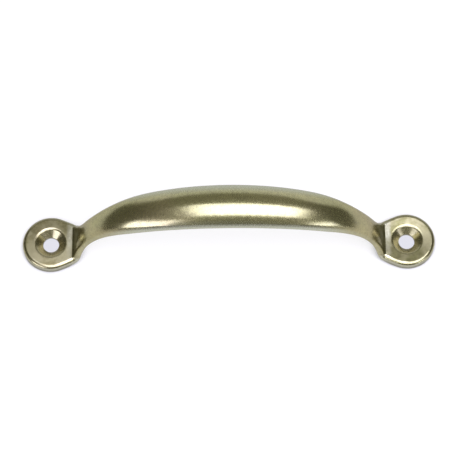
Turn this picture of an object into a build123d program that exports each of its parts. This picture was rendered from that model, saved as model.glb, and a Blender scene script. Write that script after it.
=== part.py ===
from build123d import *
import math
import os

# A bow pull pressed from one strip of sheet steel. It stands on its two feet with the door's face at z = 0.
# Origin midway between the screw holes on the door's face, X along the pull, Y across it, Z off the door. mm.

# Layout
hole_spacing = 127.0        # between the screw holes
projection = 39.65          # door's face to the top of the grip
sheet = 1.2                 # thickness of the steel
inside_radius = 0.3         # inside of the fold between a pad and its rim
edge_round = 0.25           # worn corner of every cut edge

# Dimpled screw holes
hole_diameter = 5.7
dimple_diameter = 10.9      # sharp corner of the cone in the pad's top
dimple_angle = 98.0         # cone angle
lip_radius = 1.4            # rounded lip between the pad and the cone
dimple_clearance = 0.25     # lowest edge of a dimple to the door's face

# Feet: round pads with a turned-down rim
foot_diameter = 20.0
taper_angle = 23.0          # each side of a foot runs in towards its leg at this angle
bend_gap = 0.1              # flat between the dimple's lip and the lead

# Line of the bow along its crown
lead_radius = 15.5          # gentle lead of the pad into the bend
lead_angle = 5.5            # how far the lead turns
bend_radius = 0.8           # hollow of the bend, on the outside face
leg_angle = 69.8            # leg to the door's face
leg_length = 4.65           # straight part of a leg
shoulder_radius = 44.6      # between a leg and the grip

# Section of the bow
wall_depth = 2.3            # depth of the sides at which they run straight from a foot through its bend
leg_flat = 0.65             # straight part of the sides where a leg starts
neck_width = 9.0            # narrowest place of a leg
neck_station = 13.7         # along the line from the start of the lead
shoulder_width = 13.9
shoulder_station = 40.5
shoulder_flare = 0.06       # how fast each side runs out at the shoulder
grip_width = 15.8           # widest place, at the middle
crown_excess = 0.95         # radius across the crown over half the grip's width
crown_start = 2.9           # along the line, where the flat of the pad starts to crown
crown_full = 11.5           # and where it is fully crowned
grip_corner_radius = 3.2    # side of the grip into its crown
corner_full = 36.0          # along the line, where that radius is reached
side_flat = 0.1             # straight part of the sides above the worn edge

# Derived sizes of a dimple and of a foot
half_spacing = hole_spacing / 2
cone = math.radians(90 - dimple_angle / 2)
dimple_radius = dimple_diameter / 2
hole_radius = hole_diameter / 2
lip_run = lip_radius * math.tan(cone / 2)
lip_out = dimple_radius + lip_run
under_radius = dimple_radius - sheet * math.tan(cone / 2)
foot_height = dimple_clearance + (under_radius - hole_radius) * math.tan(cone) + sheet
foot_radius = foot_diameter / 2
rim_radius = inside_radius + sheet
taper = math.radians(taper_angle)
tangent_x = foot_radius * math.sin(taper)
tangent_y = foot_radius * math.cos(taper)
foot_end = lip_out + bend_gap
joint_half = tangent_y - (foot_end - tangent_x) * math.tan(taper)
crown_radius = grip_width / 2 + crown_excess
rim_flat = foot_height - rim_radius - edge_round
lead = math.radians(lead_angle)
lean = math.radians(leg_angle)

# The line of one half, from the start of the lead to the middle
lead_x = half_spacing - foot_end
bend_x = lead_x - (lead_radius - bend_radius) * math.sin(lead)
bend_z = foot_height + lead_radius - (lead_radius - bend_radius) * math.cos(lead)
bend_end_x = bend_x - bend_radius * math.sin(lean)
bend_end_z = bend_z - bend_radius * math.cos(lean)
leg_end_x = bend_end_x - leg_length * math.cos(lean)
leg_end_z = bend_end_z + leg_length * math.sin(lean)
shoulder_x = leg_end_x - shoulder_radius * math.sin(lean)
shoulder_z = leg_end_z - shoulder_radius * math.cos(lean)
drop = shoulder_z - projection
bow_radius = (shoulder_radius**2 - shoulder_x**2 - drop**2) / (2 * (drop + shoulder_radius))
bow_z = projection - bow_radius
turn = math.atan2(shoulder_x, shoulder_z - bow_z)
lead_run = lead_radius * lead
bend_run = lead_run + bend_radius * (lean - lead)
leg_run = bend_run + leg_length
shoulder_run = leg_run + shoulder_radius * (lean - turn)
half_run = shoulder_run + bow_radius * turn


def line_at(run):
    """Point of the crown line and its slope, a run along it from the start of the lead."""
    if run <= lead_run:
        slope = run / lead_radius
        x = lead_x - lead_radius * math.sin(slope)
        return x, foot_height + lead_radius * (1 - math.cos(slope)), slope
    if run <= bend_run:
        slope = lead + (run - lead_run) / bend_radius
        return bend_x - bend_radius * math.sin(slope), bend_z - bend_radius * math.cos(slope), slope
    if run <= leg_run:
        along = run - bend_run
        return bend_end_x - along * math.cos(lean), bend_end_z + along * math.sin(lean), lean
    if run <= shoulder_run:
        slope = lean - (run - leg_run) / shoulder_radius
        x = shoulder_x + shoulder_radius * math.sin(slope)
        return x, shoulder_z + shoulder_radius * math.cos(slope), slope
    slope = turn - (run - shoulder_run) / bow_radius
    return bow_radius * math.sin(slope), bow_z + bow_radius * math.cos(slope), slope


def ease(start, end, run):
    """Smooth step from 0 at start to 1 at end."""
    share = min(max((run - start) / (end - start), 0.0), 1.0)
    return share * share * (3 - 2 * share)


leg_half = joint_half - (lead_x - bend_end_x + wall_depth * math.sin(lean)) * math.tan(taper)
leg_rate = -math.tan(taper) * math.cos(lean)
width_law = [
    (bend_run, leg_half, leg_rate * (1 + wall_depth / bend_radius)),
    (neck_station, neck_width / 2, 0.0),
    (shoulder_station, shoulder_width / 2, shoulder_flare),
    (half_run, grip_width / 2, 0.0),
]


def width_at(run):
    """Half width of the strap and how fast its sides run in or out, a run along the line."""
    if run <= bend_run:
        x, z, slope = line_at(run)
        plan = lead_x - x + wall_depth * math.sin(slope)
        return joint_half - plan * math.tan(taper), -math.tan(taper) * math.cos(slope)
    for (s0, a0, m0), (s1, a1, m1) in zip(width_law, width_law[1:]):
        if run <= s1 or s1 == half_run:
            length = s1 - s0
            u = (run - s0) / length
            half = (2 * u**3 - 3 * u**2 + 1) * a0 + (u**3 - 2 * u**2 + u) * length * m0
            half += (3 * u**2 - 2 * u**3) * a1 + (u**3 - u**2) * length * m1
            rate = (6 * u**2 - 6 * u) * (a0 - a1) / length
            rate += (3 * u**2 - 4 * u + 1) * m0 + (3 * u**2 - 2 * u) * m1
            free = ease(bend_run, leg_run, run)
            return half, leg_rate + free * (rate - leg_rate)


def oval(x, y, wide, high, start, end):
    """Arc of an ellipse between two angles, in degrees, in the line being drawn."""
    EllipticalCenterArc((x, y), wide, high, start_angle=start, arc_size=end - start)


def channel(half, stretch, bend, corner, flat):
    """Closed outline of the pressed channel: its skin, a cut edge, its inside and the other cut edge."""
    plain = half / stretch
    if bend > 0:
        crown = 1 / bend
        side_y = -crown + math.sqrt((crown - corner) ** 2 - (plain - corner) ** 2)
        tip = math.degrees(math.asin((plain - corner) / (crown - corner)))
    else:
        side_y = -corner
        tip = 0.0
    side_x = stretch * (plain - corner)
    inner = half - stretch * sheet
    small = edge_round
    low = side_y - flat - small
    for inset in (0.0, sheet):
        edge = half - stretch * inset
        radius = corner - inset
        Line((edge, low + small), (edge, side_y))
        oval(side_x, side_y, stretch * radius, radius, 0, 90 - tip)
        if bend > 0:
            oval(0, -crown, stretch * (crown - inset), crown - inset, 90 - tip, 90 + tip)
        else:
            Line((side_x, -inset), (-side_x, -inset))
        oval(-side_x, side_y, stretch * radius, radius, 90 + tip, 180)
        Line((-edge, side_y), (-edge, low + small))
    for side in (1, -1):
        foot_out = side * (half - stretch * small)
        foot_in = side * (inner + stretch * small)
        outer, under_out, under_in, inside = (0, -90, 270, 180) if side > 0 else (180, 270, -90, 0)
        oval(foot_out, low + small, stretch * small, small, outer, under_out)
        Line((foot_out, low), (foot_in, low))
        oval(foot_in, low + small, stretch * small, small, under_in, inside)


# Stations along the line: close together through a bend, then even over the bow
bend_stations = [lead_run * share for share in (0, 0.06, 0.18, 0.36, 0.66)]
bend_stations += [lead_run + (bend_run - lead_run) * i / 8 for i in range(9)]
bend_stations += [bend_run + leg_length * share for share in (0.06, 0.14, 0.24, 0.36, 0.5)]
bow_start = bend_stations[-1]
bow_steps = 15
bow_stations = [bow_start + (half_run - bow_start) * i / bow_steps for i in range(1, bow_steps + 1)]
half_stations = bend_stations + bow_stations


def section_at(run):
    """Sizes of the channel a run along the line."""
    half, rate = width_at(run)
    grip = ease(crown_start, corner_full, run)
    corner = rim_radius + grip * (grip_corner_radius - rim_radius)
    flat = side_flat + (leg_flat - side_flat) * (1 - ease(bend_run, crown_full, run))
    flat += (rim_flat - leg_flat) * (1 - ease(0, bend_run, run))
    bend = ease(crown_start, crown_full, run) / crown_radius
    return half, math.hypot(1, rate), bend, corner, flat


def plane_at(side, run):
    """Plane of the section, on the left or right half."""
    x, z, slope = line_at(run)
    heading = -side * slope
    return Plane((side * x, 0, z), x_dir=(0, 1, 0), z_dir=(math.cos(heading), 0, math.sin(heading)))


# The strap: the channel carried from foot to foot
with BuildPart() as strap:
    for side, run in [(-1, run) for run in half_stations] + [(1, run) for run in half_stations[-2::-1]]:
        with BuildSketch(plane_at(side, run)):
            with BuildLine():
                channel(*section_at(run))
            make_face()
    loft()

# A foot about its screw hole, with +X towards the middle, before its dimple
inner_radius = foot_radius - sheet
inner_x = inner_radius * math.sin(taper)
inner_y = inner_radius * math.cos(taper)
inner_half = joint_half - sheet / math.cos(taper)


def foot_outline(radius, x, y, half):
    """Round end and two sides running in to the joint with the strap."""
    ThreePointArc((x, y), (-radius, 0), (x, -y))
    Polyline((x, -y), (foot_end, -half), (foot_end, half), (x, y))


with BuildPart() as hollow:
    with BuildSketch(Plane.XY):
        with BuildLine():
            foot_outline(inner_radius, inner_x, inner_y, inner_half)
        make_face()
    extrude(amount=foot_height - sheet)
    rims = [e for e in hollow.edges().group_by(Axis.Z)[-1] if e.center().X < foot_end - 1e-3]
    fillet(rims, inside_radius)

with BuildPart() as foot:
    with BuildSketch(Plane.XY):
        with BuildLine():
            foot_outline(foot_radius, tangent_x, tangent_y, joint_half)
        make_face()
    extrude(amount=foot_height)
    rims = [e for e in foot.edges().group_by(Axis.Z)[-1] if e.center().X < foot_end - 1e-3]
    fillet(rims, rim_radius)
    add(hollow.part, mode=Mode.SUBTRACT)
    cut = [e for e in foot.edges().group_by(Axis.Z)[0] if e.center().X < foot_end - 1e-3]
    fillet(cut, edge_round)

# The dimple: the sheet drawn down in a cone round the hole, with a rounded lip
lip_in = dimple_radius - lip_run * math.cos(cone)
lip_low = foot_height - lip_run * math.sin(cone)
lip_mid_x = lip_out - lip_radius * math.sin(cone / 2)
lip_mid_z = foot_height - lip_radius * (1 - math.cos(cone / 2))
hole_top = foot_height - (dimple_radius - hole_radius) * math.tan(cone)

with BuildPart() as foot_with_hole:
    add(foot.part)
    with Locations((0, 0, foot_height / 2)):
        Cylinder(lip_out, 2 * foot_height, mode=Mode.SUBTRACT)
    with BuildSketch(Plane.XZ):
        with BuildLine():
            ThreePointArc((lip_out, foot_height), (lip_mid_x, lip_mid_z), (lip_in, lip_low))
            Line((lip_in, lip_low), (hole_radius, hole_top))
            Line((hole_radius, hole_top), (hole_radius, dimple_clearance))
            Line((hole_radius, dimple_clearance), (under_radius, foot_height - sheet))
            Line((under_radius, foot_height - sheet), (lip_out, foot_height - sheet))
            Line((lip_out, foot_height - sheet), (lip_out, foot_height))
        make_face()
    revolve(axis=Axis.Z)

# The pull: the strap with a foot at each end, all one pressing
with BuildPart() as bow_pull:
    add(strap.part)
    with Locations(Location((-half_spacing, 0, 0)), Location((half_spacing, 0, 0), (0, 0, 180))):
        add(foot_with_hole.part)
bow_pull.part.label = "bow_pull"

os.makedirs("parts", exist_ok=True)
export_step(bow_pull.part, "parts/bow_pull.step")
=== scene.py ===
import math
from typing import NamedTuple

import bpy
from mathutils import Matrix, Vector


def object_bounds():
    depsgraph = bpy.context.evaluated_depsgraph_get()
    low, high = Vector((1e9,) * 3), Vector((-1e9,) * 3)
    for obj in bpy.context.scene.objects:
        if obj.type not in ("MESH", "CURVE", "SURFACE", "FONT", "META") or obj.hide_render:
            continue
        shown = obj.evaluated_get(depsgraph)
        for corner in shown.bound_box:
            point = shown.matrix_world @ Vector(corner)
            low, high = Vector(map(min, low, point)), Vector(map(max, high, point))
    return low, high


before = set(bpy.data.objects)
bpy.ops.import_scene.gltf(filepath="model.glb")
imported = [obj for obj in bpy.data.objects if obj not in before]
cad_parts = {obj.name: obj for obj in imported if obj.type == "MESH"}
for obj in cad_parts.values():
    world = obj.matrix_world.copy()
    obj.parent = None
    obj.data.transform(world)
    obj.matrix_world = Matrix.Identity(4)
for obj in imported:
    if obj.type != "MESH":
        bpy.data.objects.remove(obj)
cad_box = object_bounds()
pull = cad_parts["bow_pull"]
scene = bpy.context.scene
MM = 0.001


class Noise(NamedTuple):
    """A noise: its scale per metre, its detail and roughness, and the values between which it fades in."""

    scale: float
    detail: float
    rough: float
    fade: tuple


# Camera, above the front of the pull
IMAGE_SIDE = 450
VIEW_AZIMUTH, VIEW_ELEVATION, VIEW_ROLL = -0.69, 67.1, 0.092
VIEW_DISTANCE = 700 * MM
PIXELS_PER_MM = 2.831
TARGET = Vector((0, 0, 10 * MM))
TARGET_PIXEL = (228.46, 233.14)
SENSOR = 36.0
CLIP_START, CLIP_END = 0.01, 20

# Colours of the plated metal
OLIVE = (0.34, 0.33, 0.155)
CHAMPAGNE = (0.385, 0.365, 0.18)
BROWN = (0.36, 0.30, 0.178)
# Dull tone for random mottles and speckles; also painted shade in hollows and on the rims behind
DULL_AND_SHADE = (0.18, 0.165, 0.08)
# Painted shade: the darker tone inside the dimples
DIMPLE_SHADE = (0.275, 0.25, 0.135)
# Painted reflection: the grey of the grip's sides that face front and back
SIDE_REFLECTION_GREY = (0.46, 0.50, 0.42)
EDGE_TINT = (0.46, 0.45, 0.37)
BURNISHED = (0.78, 0.775, 0.63)
WORN = (0.50, 0.49, 0.41)
RUBBED = (0.60, 0.56, 0.37)
# Painted reflection: the grey of the rims' faces towards the front
RIM_REFLECTION_GREY = (0.42, 0.44, 0.37)

# Noises of the plated metal
PATCHES = Noise(70, 3, 0.5, (0.35, 0.65))
BROWNING = Noise(38, 2, 0.5, (0.48, 0.68))
MOTTLE = Noise(380, 4, 0.65, (0.4, 0.62))
SPECKLE = Noise(1300, 3, 0.6, (0.42, 0.7))
GRAIN = Noise(2600, 3, 0.6, (0.3, 0.7))
RUBBING = Noise(170, 3, 0.5, (0.4, 0.6))
SCUFFS = Noise(500, 3, 0.5, (0.35, 0.65))
WEAR = Noise(70, 3, 0.5, (0.3, 0.6))

# How much of each tone there is; a pair goes from the first place to the second
BROWN_SHARE = 0.6
MOTTLE_SHARES = (0.15, 0.5)
SPECKLE_SHARE = 0.5
SIDE_REFLECTION_SHARES = (0.9, 0.2)
RUBBED_SHARE = 0.55
DIMPLE_SHADE_SHARE = 0.75
RIM_PAINTED_SHARE = 0.85
STRIP_SHARES = (0.3, 1.0)
SCUFF_SHARES = (1.0, 0.45)
HOLLOW_SHADE_SHARE = 0.8
WEAR_SHARE = 0.8

# Places on the pull: a pair is where a fade starts and ends
FOOT_RADIUS = 10 * MM
HOLE_X = cad_box[1][0] - FOOT_RADIUS
GRIP_TO_LEGS = (30 * MM, 46 * MM)
LEGS_TO_FEET = (48 * MM, 53 * MM)
FOOT_TOP = (3.37 * MM, 3.92 * MM)
PAD_INSIDE, PAD_OUTSIDE = 5.7 * MM, 9.0 * MM
DIMPLE_EDGE = (5.2 * MM, 5.7 * MM)
RIM_START = (7.5 * MM, 8.5 * MM)
RIM_FACE = (8.5 * MM, 9.5 * MM)
STRIP_START = (5.2 * MM, 6.8 * MM)
STRIP_END = (7.8 * MM, 8.2 * MM)
STRIP_ALONG = (-6.0 * MM, 3.0 * MM)
HOLE_EDGE = (2.7 * MM, 3.2 * MM)
LEFT_TO_RIGHT = (-1 * MM, 1 * MM)

# Which way a face looks, as its normal's part along Y or Z
FAR_SIDE = (0.35, 0.8)
NEAR_SIDE = (-0.95, -0.65)
PAD_UP = (0.95, 0.99)
RIM_UP = (0.9, 0.99)
RIM_BACK = (-0.3, 0.0)
RIM_UPRIGHT = (0.2, 0.7)
RIM_FRONT = (-0.4, 0.1)
STRIP_UP = (0.9, 0.97)

# Painted shade in hollows and wear on corners, found by how far a point is closed in
CLOSED_SAMPLES = 8
HOLLOW_REACH = 1.8 * MM
HOLLOW_FADE = (0.35, 0.9)
CORNER_REACH = 0.5 * MM
CORNER_FADE = (0.6, 0.95)

# Gloss; the slopes of the pads are for the left foot and the right
ROUGHNESS = (0.2, 0.3)
PAD_ROUGHER = 0.08
PAD_DISHES = (-0.04, 0.08)
PAD_LEANS = (0.026, 0.055)
GRAIN_STRENGTH = 0.15
GRAIN_DEPTH = 0.02 * MM
COAT, COAT_ROUGHNESS, COAT_IOR = 0.5, 0.18, 2.0

# Floor; a pair goes from front to back, or from closed in to open
BLACK, WHITE = (0, 0, 0), (1, 1, 1)
FLOOR_HALF = 3.0
FLOOR_DROP = 0.02 * MM
PAPER_TINT = (1.0, 0.965, 0.84)
PAPER_FADE = (-0.15, 0.02)
# Painted shade: the paper's level, darker in front of the pull than behind
PAPER_SHADE_LEVELS = (0.34, 0.8)
CONTACT_REACH = 6 * MM
CONTACT_FADE = (0.3, 0.95)
CONTACT_LEVELS = (0.28, 1.0)
SEEN_WHITE = (0.1, 0.7)
MIRROR_FADE = (-0.02, 0.03)
MIRRORED_WHITE = (0.0, 0.7)
# Painted shadow: the grey of the floor seen through the holes
HOLE_SHADOW_GREY = (0.77, 0.77, 0.85)

# Lamps: sizes and places in metres, angles in degrees, soft as shares of the width and height
LAMP_TINT = (0.96, 0.945, 1.13)
OVERHEAD_PLACE = Vector((0.195, -0.34, 0.8))
OVERHEAD_SIZE = (1.16, 0.91)
OVERHEAD_SOFT = (0.2, 0.08)
OVERHEAD_RADIANCE = 4.8
SIDE_BOXES = {"front_left": (-44, 21, (0.74, 0.36)), "front_right": (51, 14.3, (0.50, 0.24))}
SIDE_DISTANCE = 0.9
SIDE_SOFT = (0.2, 0.12)
SIDE_RADIANCE = 4.4

# Room, by the parts of a direction along X, Y and Z
ROOM_TINT = (1.0, 0.96, 0.76)
ROOM_ASIDE = (0.45, 0.8)
ROOM_LEVELS = (0.32, 0.17)
HORIZON = (0.0, 0.2)
HORIZON_LEVELS = (0.3, 1.0)
SWEEP_TOP = (0.38, 0.62)
SWEEP_MIDDLE = 0.15
SWEEP_NARROWING = 0.9
SWEEP_EDGE = (-0.15, 0.25)


def direction(azimuth, elevation):
    """Unit vector; azimuth 0 is towards the front, -Y, and 90 towards +X."""
    a, e = math.radians(azimuth), math.radians(elevation)
    return Vector((math.sin(a) * math.cos(e), -math.cos(a) * math.cos(e), math.sin(e)))


def add_camera():
    back = direction(VIEW_AZIMUTH, VIEW_ELEVATION)
    side = Vector((math.cos(math.radians(VIEW_AZIMUTH)), math.sin(math.radians(VIEW_AZIMUTH)), 0))
    up = back.cross(side)
    roll = math.radians(VIEW_ROLL)
    right = side * math.cos(roll) + up * math.sin(roll)
    up = up * math.cos(roll) - side * math.sin(roll)
    centre = (IMAGE_SIDE - 1) / 2
    across = (TARGET_PIXEL[0] - centre) / PIXELS_PER_MM * MM
    down = (TARGET_PIXEL[1] - centre) / PIXELS_PER_MM * MM
    data = bpy.data.cameras.new("camera")
    data.sensor_width = SENSOR
    data.lens = SENSOR * PIXELS_PER_MM / MM * VIEW_DISTANCE / IMAGE_SIDE
    data.clip_start = CLIP_START
    data.clip_end = CLIP_END
    camera = bpy.data.objects.new("camera", data)
    scene.collection.objects.link(camera)
    place = TARGET + back * VIEW_DISTANCE - right * across + up * down
    turn = Matrix((right, up, back)).transposed()
    camera.matrix_world = Matrix.Translation(place) @ turn.to_4x4()
    scene.camera = camera


class Nodes:
    """Adds and links nodes in one tree."""

    def __init__(self, tree):
        self.tree = tree
        tree.nodes.clear()

    def add(self, kind, inputs=None, **settings):
        node = self.tree.nodes.new(kind)
        for name, value in settings.items():
            setattr(node, name, value)
        for name, value in (inputs or {}).items():
            if isinstance(value, bpy.types.NodeSocket):
                self.tree.links.new(value, node.inputs[name])
            else:
                node.inputs[name].default_value = value
        return node

    def math(self, operation, a, b=0.0):
        return self.add("ShaderNodeMath", {0: a, 1: b}, operation=operation).outputs[0]

    def times(self, first, *others):
        for other in others:
            first = self.math("MULTIPLY", first, other)
        return first

    def axes(self, vector):
        return self.add("ShaderNodeSeparateXYZ", {0: vector}).outputs

    def noise(self, where, kind):
        inputs = {"Vector": where, "Scale": kind.scale, "Detail": kind.detail, "Roughness": kind.rough}
        return self.add("ShaderNodeTexNoise", inputs).outputs["Fac"]

    def span(self, value, low, high, to_low=0.0, to_high=1.0):
        inputs = {"Value": value, "From Min": low, "From Max": high, "To Min": to_low, "To Max": to_high}
        return self.add("ShaderNodeMapRange", inputs, interpolation_type="SMOOTHSTEP").outputs["Result"]

    def below(self, value, low, high, share=1.0):
        """The share where the value is under low, fading to none at high."""
        return self.span(value, low, high, share, 0.0)

    def cloud(self, where, kind, to_low=0.0, to_high=1.0):
        return self.span(self.noise(where, kind), *kind.fade, to_low, to_high)

    def openness(self, reach, inside=False):
        """1 where nothing stands within reach, and less where the point is closed in."""
        settings = {"samples": CLOSED_SAMPLES, "inside": inside}
        return self.add("ShaderNodeAmbientOcclusion", {"Distance": reach}, **settings).outputs["AO"]

    def mix(self, share, a, b):
        node = self.add("ShaderNodeMix", {0: share}, data_type="RGBA")
        for index, value in ((6, a), (7, b)):
            if isinstance(value, bpy.types.NodeSocket):
                self.tree.links.new(value, node.inputs[index])
            else:
                node.inputs[index].default_value = (*value, 1)
        return node.outputs[2]


def around_hole(n, place):
    """How far a point is from the nearer screw hole's centre, towards the middle of the pull and in all."""
    inwards = n.math("SUBTRACT", HOLE_X, n.math("ABSOLUTE", place["X"]))
    squares = n.math("ADD", n.times(inwards, inwards), n.times(place["Y"], place["Y"]))
    return inwards, n.math("SQRT", squares)


class Surface:
    """Where a point of the pull lies, which way it faces, and whether it is on a foot or a foot's pad."""

    def __init__(self, n):
        self.where = n.add("ShaderNodeTexCoord").outputs["Object"]
        self.place = n.axes(self.where)
        self.facing = n.axes(n.add("ShaderNodeNewGeometry").outputs["Normal"])
        self.beside = n.math("ABSOLUTE", self.place["X"])
        self.inwards, self.radius = around_hole(n, self.place)
        self.foot = n.below(self.place["Z"], *FOOT_TOP)
        self.pad = n.times(n.span(self.facing["Z"], *PAD_UP), self.foot)


def plating_and_reflection_tone(n, at):
    """Uneven plating, mottled most on the feet, with painted reflection: greyer on the sides of the grip that
    face front and back.
    """
    tone = n.mix(n.cloud(at.where, PATCHES), OLIVE, CHAMPAGNE)
    tone = n.mix(n.cloud(at.where, BROWNING, 0.0, BROWN_SHARE), tone, BROWN)
    mottle = n.times(n.cloud(at.where, MOTTLE), n.span(at.beside, *LEGS_TO_FEET, *MOTTLE_SHARES))
    tone = n.mix(mottle, tone, DULL_AND_SHADE)
    tone = n.mix(n.cloud(at.where, SPECKLE, 0.0, SPECKLE_SHARE), tone, DULL_AND_SHADE)
    # Painted reflection: sides of the grip facing front and back are made greyer
    far = n.span(at.facing["Y"], *FAR_SIDE)
    near = n.below(at.facing["Y"], *NEAR_SIDE)
    side = n.times(n.math("MAXIMUM", far, near), n.span(at.beside, *GRIP_TO_LEGS, *SIDE_REFLECTION_SHARES))
    return n.mix(side, tone, SIDE_REFLECTION_GREY)


def feet_tone(n, at, tone):
    """Rubbed pads, painted shade in the dimples, painted shade on the rims behind and painted reflection on
    them in front, a burnished strip beside each bend.
    """
    rubbed = n.times(at.pad, n.cloud(at.where, RUBBING, 0.0, RUBBED_SHARE))
    tone = n.mix(rubbed, tone, RUBBED)
    # Painted shade inside the dimples
    dimple_shade = n.times(n.below(at.radius, *DIMPLE_EDGE, DIMPLE_SHADE_SHARE), at.foot)
    tone = n.mix(dimple_shade, tone, DIMPLE_SHADE)
    # Painted shade: rims facing back are darkened
    back = n.times(n.below(at.facing["Z"], *RIM_UP), n.span(at.facing["Y"], *RIM_BACK))
    back = n.times(back, at.foot, n.span(at.radius, *RIM_START, 0.0, RIM_PAINTED_SHARE))
    tone = n.mix(back, tone, DULL_AND_SHADE)
    # Painted reflection: rims facing front are made greyer
    front_rim_reflection = n.times(n.below(at.facing["Z"], *RIM_UPRIGHT), n.below(at.facing["Y"], *RIM_FRONT))
    front_rim_reflection = n.times(front_rim_reflection, at.foot, n.span(at.radius, *RIM_FACE, 0.0, RIM_PAINTED_SHARE))
    tone = n.mix(front_rim_reflection, tone, RIM_REFLECTION_GREY)
    across = n.times(n.span(at.inwards, *STRIP_START), n.below(at.inwards, *STRIP_END))
    along = n.times(n.span(at.facing["Z"], *STRIP_UP), n.span(at.place["Y"], *STRIP_ALONG, *STRIP_SHARES))
    strip = n.times(across, along, n.cloud(at.where, SCUFFS, *SCUFF_SHARES))
    return n.mix(strip, tone, BURNISHED)


def shade_and_wear_tone(n, at, tone):
    """Painted shade in hollows and worn corners."""
    # Painted shade: hollows are darkened towards the dull tone
    tone = n.mix(n.below(n.openness(HOLLOW_REACH), *HOLLOW_FADE, HOLLOW_SHADE_SHARE), tone, DULL_AND_SHADE)
    corner = n.below(n.openness(CORNER_REACH, inside=True), *CORNER_FADE, WEAR_SHARE)
    return n.mix(n.times(corner, n.cloud(at.where, WEAR)), tone, WORN)


def pad_slopes(n, at):
    """Height by which the pads are slightly out of flat: a dish or dome around the dimple, and a lean."""
    ring = n.math("MINIMUM", n.math("MAXIMUM", at.radius, PAD_INSIDE), PAD_OUTSIDE)
    dish = n.times(ring, n.span(at.place["X"], *LEFT_TO_RIGHT, *PAD_DISHES))
    lean = n.times(at.place["Y"], n.span(at.place["X"], *LEFT_TO_RIGHT, *PAD_LEANS))
    return n.times(n.math("ADD", dish, lean), at.pad)


def plated_metal():
    """Lacquered plating on pressed steel, with a fine grain. The pads are duller than the bow."""
    material = bpy.data.materials.new("plated_steel")
    material.use_nodes = True
    n = Nodes(material.node_tree)
    at = Surface(n)
    grain = n.noise(at.where, GRAIN)
    slopes = n.add("ShaderNodeBump", {"Height": pad_slopes(n, at), "Strength": 1.0, "Distance": 1.0})
    bump = {"Height": grain, "Strength": GRAIN_STRENGTH, "Distance": GRAIN_DEPTH, "Normal": slopes.outputs[0]}
    inputs = {
        "Base Color": shade_and_wear_tone(n, at, feet_tone(n, at, plating_and_reflection_tone(n, at))),
        "Roughness": n.math("ADD", n.span(grain, *GRAIN.fade, *ROUGHNESS), n.times(at.pad, PAD_ROUGHER)),
        "Normal": n.add("ShaderNodeBump", bump).outputs[0],
        "Metallic": 1.0,
        "Specular Tint": (*EDGE_TINT, 1),
        "Coat Weight": COAT,
        "Coat Roughness": COAT_ROUGHNESS,
        "Coat IOR": COAT_IOR,
    }
    shader = n.add("ShaderNodeBsdfPrincipled", inputs)
    n.add("ShaderNodeOutputMaterial", {"Surface": shader.outputs[0]})
    return material


def floor_material():
    """White paper with painted shade close to the pull. The camera finds it mostly white, with a painted
    shadow of pale grey in the holes.

    The metal mirrors it as mostly white behind the pull and as paper with painted shade in front.
    """
    material = bpy.data.materials.new("floor")
    material.use_nodes = True
    n = Nodes(material.node_tree)
    path = n.add("ShaderNodeLightPath").outputs
    place = n.axes(n.add("ShaderNodeTexCoord").outputs["Object"])
    clear = n.openness(CONTACT_REACH)
    # Painted shade: the paper is darkened close to the pull and in front of it
    shade = n.span(clear, *CONTACT_FADE, *CONTACT_LEVELS)
    shaded_level = n.times(n.span(place["Y"], *PAPER_FADE, *PAPER_SHADE_LEVELS), shade)
    tone = n.mix(path["Is Camera Ray"], n.mix(shaded_level, BLACK, PAPER_TINT), n.mix(shade, BLACK, WHITE))
    paper = n.add("ShaderNodeBsdfDiffuse", {"Color": tone})
    # Painted shadow: the floor is grey in the holes
    in_hole = n.below(around_hole(n, place)[1], *HOLE_EDGE)
    white = n.add("ShaderNodeEmission", {"Color": n.mix(in_hole, WHITE, HOLE_SHADOW_GREY), "Strength": 1.0})
    seen = n.math("MAXIMUM", n.span(clear, *CONTACT_FADE, *SEEN_WHITE), in_hole)
    mirrors = n.math("MAXIMUM", path["Is Glossy Ray"], path["Is Transmission Ray"])
    mirrored = n.times(mirrors, n.span(place["Y"], *MIRROR_FADE, *MIRRORED_WHITE))
    share = n.math("MAXIMUM", n.times(path["Is Camera Ray"], seen), mirrored)
    both = n.add("ShaderNodeMixShader", {0: share, 1: paper.outputs[0], 2: white.outputs[0]})
    n.add("ShaderNodeOutputMaterial", {"Surface": both.outputs[0]})
    return material


def add_floor():
    mesh = bpy.data.meshes.new("floor")
    corners = [(x * FLOOR_HALF, y * FLOOR_HALF, -FLOOR_DROP) for x, y in ((-1, -1), (1, -1), (1, 1), (-1, 1))]
    mesh.from_pydata(corners, [], [(0, 1, 2, 3)])
    floor = bpy.data.objects.new("floor", mesh)
    scene.collection.objects.link(floor)
    mesh.materials.append(floor_material())


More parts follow.
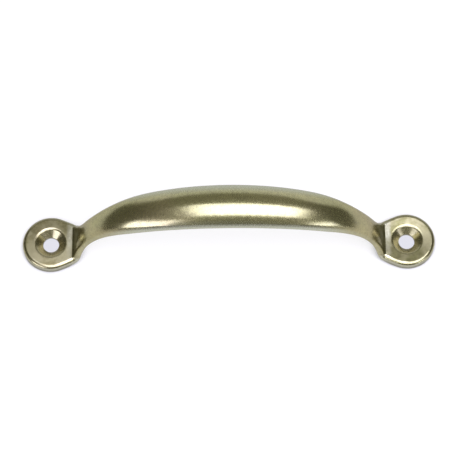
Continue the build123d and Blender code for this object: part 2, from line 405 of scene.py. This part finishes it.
def add_softbox(name, place, out, size, radiance, soft):
    """Area lamp facing against out, whose light fades towards its ends."""
    width, height = size
    data = bpy.data.lights.new(name, "AREA")
    data.shape = "RECTANGLE"
    data.size = width
    data.size_y = height
    data.energy = radiance * math.pi * width * height
    data.use_nodes = True
    n = Nodes(data.node_tree)
    across = n.axes(n.add("ShaderNodeNewGeometry").outputs["Parametric"])
    fades = []
    for axis, fade in zip("XY", soft):
        from_end = n.math("SUBTRACT", 0.5, n.math("ABSOLUTE", n.math("SUBTRACT", across[axis], 0.5)))
        fades.append(n.span(from_end, 0.0, fade))
    glow = n.add("ShaderNodeEmission", {"Color": (*LAMP_TINT, 1), "Strength": n.times(*fades)})
    n.add("ShaderNodeOutputLight", {"Surface": glow.outputs[0]})
    box = bpy.data.objects.new(name, data)
    scene.collection.objects.link(box)
    box.location = place
    box.rotation_mode = "QUATERNION"
    box.rotation_quaternion = out.to_track_quat("Z", "Y")
    box.visible_camera = False


def studio_world():
    """Dim room, darkest at both sides and near the horizon, with a white sweep behind the pull."""
    world = bpy.data.worlds.new("studio")
    scene.world = world
    world.use_nodes = True
    n = Nodes(world.node_tree)
    way = n.axes(n.add("ShaderNodeTexCoord").outputs["Generated"])
    walls = n.span(n.math("ABSOLUTE", way["X"]), *ROOM_ASIDE, *ROOM_LEVELS)
    room = n.times(walls, n.span(way["Z"], *HORIZON, *HORIZON_LEVELS))
    off = n.math("ABSOLUTE", n.math("SUBTRACT", way["X"], SWEEP_MIDDLE))
    behind = n.span(n.math("SUBTRACT", way["Y"], n.times(off, SWEEP_NARROWING)), *SWEEP_EDGE)
    sweep = n.times(n.below(way["Z"], *SWEEP_TOP), behind)
    inputs = {"Color": n.mix(sweep, ROOM_TINT, WHITE), "Strength": n.math("MAXIMUM", room, sweep)}
    sky = n.add("ShaderNodeBackground", inputs)
    n.add("ShaderNodeOutputWorld", {"Surface": sky.outputs[0]})


add_camera()
add_floor()
studio_world()
add_softbox("overhead", OVERHEAD_PLACE, Vector((0, 0, 1)), OVERHEAD_SIZE, OVERHEAD_RADIANCE, OVERHEAD_SOFT)
for name, (azimuth, elevation, size) in SIDE_BOXES.items():
    away = direction(azimuth, elevation)
    add_softbox(name, TARGET + away * SIDE_DISTANCE, away, size, SIDE_RADIANCE, SIDE_SOFT)
pull.data.materials.clear()
pull.data.materials.append(plated_metal())
scene.view_settings.view_transform = "Standard"
